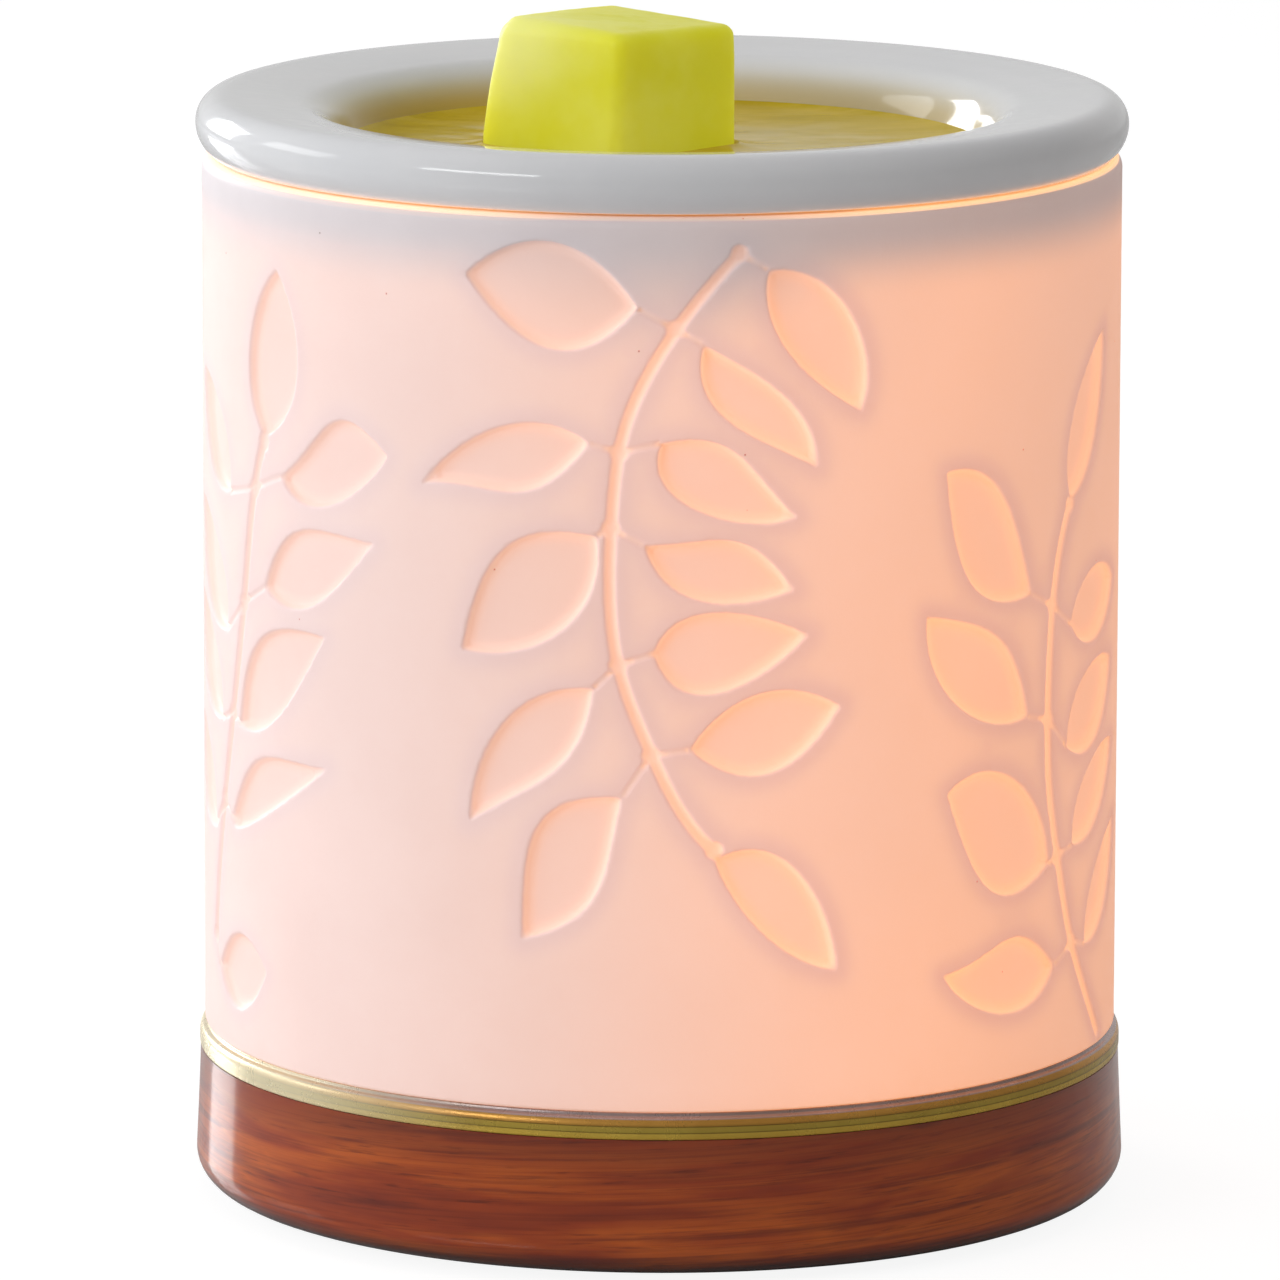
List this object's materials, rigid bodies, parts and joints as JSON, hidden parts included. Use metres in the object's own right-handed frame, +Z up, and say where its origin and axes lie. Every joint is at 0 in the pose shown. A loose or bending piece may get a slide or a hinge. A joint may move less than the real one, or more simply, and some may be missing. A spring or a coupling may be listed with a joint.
{
  "type": "wax melt warmer",
  "caption": "Wax melt warmer: a wax dish on a lamp-lit porcelain shade with carved leaf sprigs, over a metal ring and a round wood base.",
  "frame": {"origin": "on the table, under the middle of the wood base", "axes": "+Z up through the lamp to the dish, -Y towards the front that the picture shows, +X to its right"},
  "size_m": [0.1256, 0.1255, 0.1594],
  "materials": {
    "mahogany": "turned hardwood, red-brown stain under gloss lacquer",
    "black_sheet": "pressed steel sheet, satin black paint",
    "zinc_steel": "zinc-plated steel",
    "foot_rubber": "moulded black rubber",
    "olive_brass": "spun brass, aged to an olive gold, polished",
    "bisque_porcelain": "unglazed white bisque porcelain, lit from inside",
    "clear_silicone": "translucent silicone bead",
    "glazed_porcelain": "white porcelain under a clear gloss glaze",
    "wax_pool": "melted scented wax, olive gold, wet gloss",
    "wax_solid": "scented wax, yellow-green, half translucent",
    "bush_nylon": "natural nylon",
    "contact_brass": "bright brass sheet",
    "wire_sleeve": "heat-resisting woven sleeve over silicone",
    "crimp_tin": "tinned copper barrel",
    "solder": "dull solder",
    "black_glass": "black vitrified glass",
    "lamp_glass": "clear blown glass",
    "lamp_wire_metal": "nickel support wire and tungsten coil"
  },
  "bodies": {
    "root": {"wood_base": "mahogany", "bottom_cover": "black_sheet", "cover_screws": "zinc_steel", "rubber_foot_1": "foot_rubber", "rubber_foot_2": "foot_rubber", "rubber_foot_3": "foot_rubber", "rubber_foot_4": "foot_rubber", "trim_ring": "olive_brass", "ring_screws": "zinc_steel", "shade": "bisque_porcelain", "shade_sealant": "clear_silicone", "cord_grommet": "foot_rubber", "holder_bracket": "zinc_steel", "bracket_screws": "zinc_steel", "deck_bush": "bush_nylon", "holder_nipple": "zinc_steel", "lock_washer": "zinc_steel", "nipple_locknut": "zinc_steel", "holder_cap": "contact_brass", "holder_body": "glazed_porcelain", "holder_screws": "zinc_steel", "screw_shell": "contact_brass", "centre_contact": "contact_brass", "shell_rivet": "contact_brass", "contact_rivet": "contact_brass", "shell_terminal": "contact_brass", "contact_terminal": "contact_brass", "shell_wire": "wire_sleeve", "contact_wire": "wire_sleeve", "shell_crimp": "crimp_tin", "contact_crimp": "crimp_tin"},
    "dish": {"wax_dish": "glazed_porcelain", "melted_wax": "wax_pool"},
    "cube": {"wax_cube": "wax_solid"},
    "lamp_end": {"lamp_tip": "solder"},
    "lamp": {"lamp_globe": "lamp_glass", "lamp_cap": "contact_brass", "lamp_insulator": "black_glass", "lamp_stem": "lamp_glass", "filament_supports": "lamp_wire_metal", "lamp_filament": "lamp_wire_metal"}
  },
  "joints": [
    {"name": "dish_lift", "type": "slide", "parent": "root", "child": "dish", "axis": [0, 0, 1], "range_m": [0, 0.06]},
    {"name": "cube_lift", "type": "slide", "parent": "dish", "child": "cube", "axis": [0.0419, 0, 0.9991], "range_m": [0, 0.04]},
    {"name": "lamp_rise", "type": "slide", "parent": "root", "child": "lamp_end", "axis": [0, 0, 1], "range_m": [0, 0.0102]},
    {"name": "lamp_turn", "type": "hinge", "parent": "lamp_end", "child": "lamp", "pos_m": [0, 0, 0.0472], "axis": [0, 0, 1], "range_deg": [0, 1440]}
  ],
  "couplings": [
    {"joint": "lamp_rise", "follows": "lamp_turn", "m_per_rad": 0.00040425}
  ]
}
